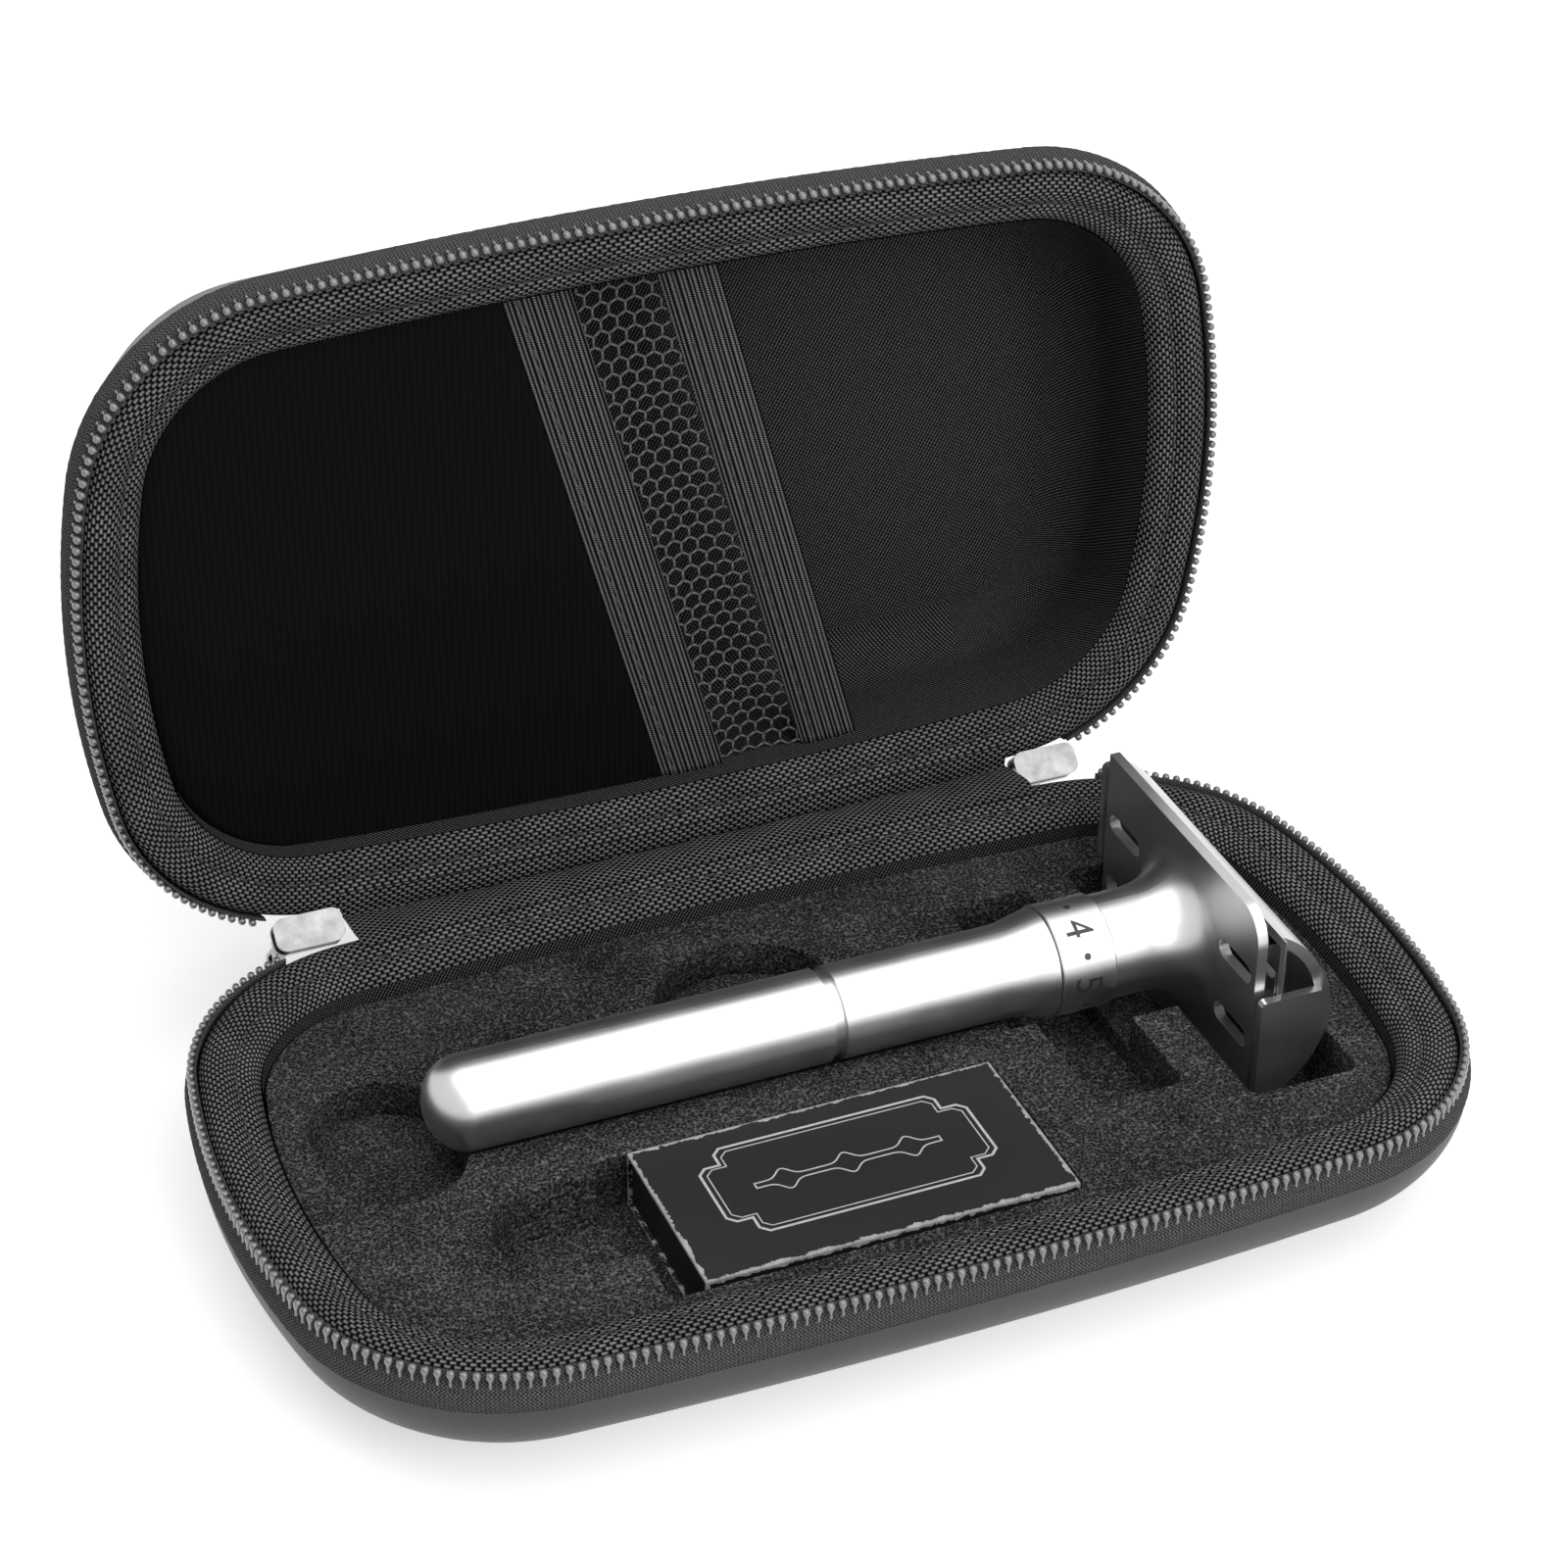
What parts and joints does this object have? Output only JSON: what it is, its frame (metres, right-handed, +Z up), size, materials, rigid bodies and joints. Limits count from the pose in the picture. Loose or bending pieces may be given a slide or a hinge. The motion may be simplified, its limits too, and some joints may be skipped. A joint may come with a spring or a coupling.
{
  "type": "razor travel case",
  "caption": "Zipped hard-shell travel case standing open, with a fitted foam insert that holds an adjustable safety razor and a box of blades, and a net pocket in the lid",
  "frame": {"origin": "middle of the flat underside of the base shell", "axes": "+X along the long side of the case, +Y from the front towards the hinge, +Z up"},
  "size_m": [0.1582, 0.1246, 0.1092],
  "materials": {
    "shell": "satin moulded shell",
    "lining": "twill lining",
    "rim_fabric": "coarse woven padded rim",
    "zip_tape": "woven tape",
    "zip_coil": "dark zip teeth",
    "foam": "dense closed-cell foam",
    "satin_chrome": "satin chrome",
    "brass": "turned",
    "blade_steel": "polished strip",
    "card": "black printed card",
    "wrapper": "waxed paper",
    "pocket_fabric": "smooth stretch fabric",
    "elastic": "ribbed elastic",
    "net": "hexagonal net",
    "slider_metal": "dark painted"
  },
  "bodies": {
    "base": {"base_shell": "shell", "base_lining": "lining", "base_rim": "rim_fabric", "base_zip_tape": "zip_tape", "base_zip_teeth": "zip_coil", "base_hinge_leaf": "zip_tape", "foam_upper": "foam", "foam_lower": "foam"},
    "lid": {"lid_shell": "shell", "lid_lining": "lining", "lid_rim": "rim_fabric", "lid_zip_tape": "zip_tape", "lid_zip_teeth": "zip_coil", "lid_hinge_leaf": "zip_tape", "pocket_panel": "pocket_fabric", "pocket_band_left": "elastic", "pocket_net": "net", "pocket_band_right": "elastic"},
    "slider_left": {"zip_slider_left": "slider_metal"},
    "slider_right": {"zip_slider_right": "slider_metal"},
    "pull_left": {"zip_pull_left": "slider_metal"},
    "pull_right": {"zip_pull_right": "slider_metal"},
    "razor": {"razor_grip": "satin_chrome", "razor_upper_handle": "satin_chrome", "razor_core": "brass", "razor_guard": "satin_chrome"},
    "dial": {"razor_dial": "satin_chrome"},
    "cap": {"razor_cap": "satin_chrome", "razor_blade": "blade_steel"},
    "blade_box": {"blade_box_sleeve": "card", "blade_box_tray": "card", "wrapped_blades": "wrapper"}
  },
  "joints": [
    {"name": "lid_hinge", "type": "hinge", "parent": "base", "child": "lid", "pos_m": [0, 0.0464, 0.0159], "axis": [-1, 0, 0], "range_deg": [-91.5, 38.5]},
    {"name": "slider_left_turn", "type": "hinge", "parent": "base", "child": "slider_left", "pos_m": [0, 0.0464, 0.0159], "axis": [-1, 0, 0], "range_deg": [-45.75, 19.25]},
    {"name": "slider_right_turn", "type": "hinge", "parent": "base", "child": "slider_right", "pos_m": [0, 0.0464, 0.0159], "axis": [-1, 0, 0], "range_deg": [-45.75, 19.25]},
    {"name": "pull_left_swing", "type": "hinge", "parent": "slider_left", "child": "pull_left", "pos_m": [-0.0552, 0.05075, 0.0163], "axis": [0, 0.7163, 0.6978], "range_deg": [-75, 75]},
    {"name": "pull_right_swing", "type": "hinge", "parent": "slider_right", "child": "pull_right", "pos_m": [0.0552, 0.05075, 0.0163], "axis": [0, 0.7163, 0.6978], "range_deg": [-75, 75]},
    {"name": "razor_lift", "type": "slide", "parent": "base", "child": "razor", "axis": [0, 0, 1], "range_m": [0, 0.06]},
    {"name": "dial_turn", "type": "hinge", "parent": "razor", "child": "dial", "pos_m": [0, 0.0054, 0.0196], "axis": [1, 0, 0], "range_deg": [-210, 90]},
    {"name": "cap_gap", "type": "slide", "parent": "razor", "child": "cap", "axis": [1, 0, 0], "range_m": [-0.00084, 0.00036]},
    {"name": "blade_box_lift", "type": "slide", "parent": "base", "child": "blade_box", "axis": [0, 0, 1], "range_m": [0, 0.06]}
  ],
  "couplings": [
    {"joint": "slider_left_turn", "follows": "lid_hinge", "ratio": 0.5},
    {"joint": "slider_right_turn", "follows": "lid_hinge", "ratio": 0.5},
    {"joint": "dial_turn", "follows": "cap_gap", "rad_per_m": 4342}
  ]
}
